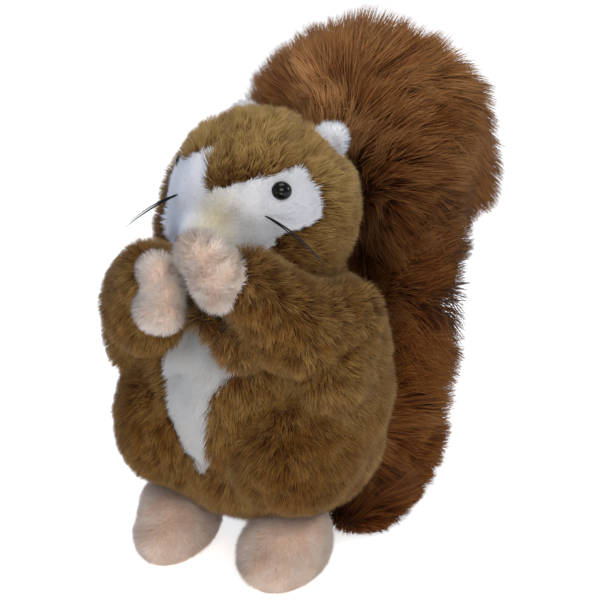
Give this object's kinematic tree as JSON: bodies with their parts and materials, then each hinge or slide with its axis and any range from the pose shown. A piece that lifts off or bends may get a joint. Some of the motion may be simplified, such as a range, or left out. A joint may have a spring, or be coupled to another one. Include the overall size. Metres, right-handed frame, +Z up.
{
  "type": "plush toy squirrel",
  "caption": "Stuffed plush toy squirrel that stands on its feet and a big bushy tail, with its paws held to its mouth.",
  "frame": {"origin": "on the floor, under the middle of the toy's box", "axes": "+Z up, the toy faces -Y, its left side is +X"},
  "size_m": [0.1162, 0.2193, 0.2111],
  "materials": {
    "brown_pile": "short golden brown plush pile with darker roots",
    "white_pile": "short white plush pile",
    "pink_pile": "short pale peach plush pile",
    "tail_pile": "long soft reddish brown pile with lighter tips",
    "eye_plastic": "polished",
    "nose_thread": "satin stitched thread",
    "bristle": "stiff dark monofilament"
  },
  "bodies": {
    "root": {"trunk": "brown_pile", "head": "brown_pile", "arm_left": "brown_pile", "arm_right": "brown_pile", "leg_left": "brown_pile", "leg_right": "brown_pile", "ear_left": "white_pile", "ear_right": "white_pile", "paw_left": "pink_pile", "paw_right": "pink_pile", "foot_left": "pink_pile", "foot_right": "pink_pile", "tail_lower": "tail_pile", "tail_middle": "tail_pile", "tail_upper": "tail_pile", "eye_left": "eye_plastic", "eye_right": "eye_plastic", "nose": "nose_thread", "whisker_left": "bristle", "whisker_right": "bristle"}
  },
  "joints": []
}
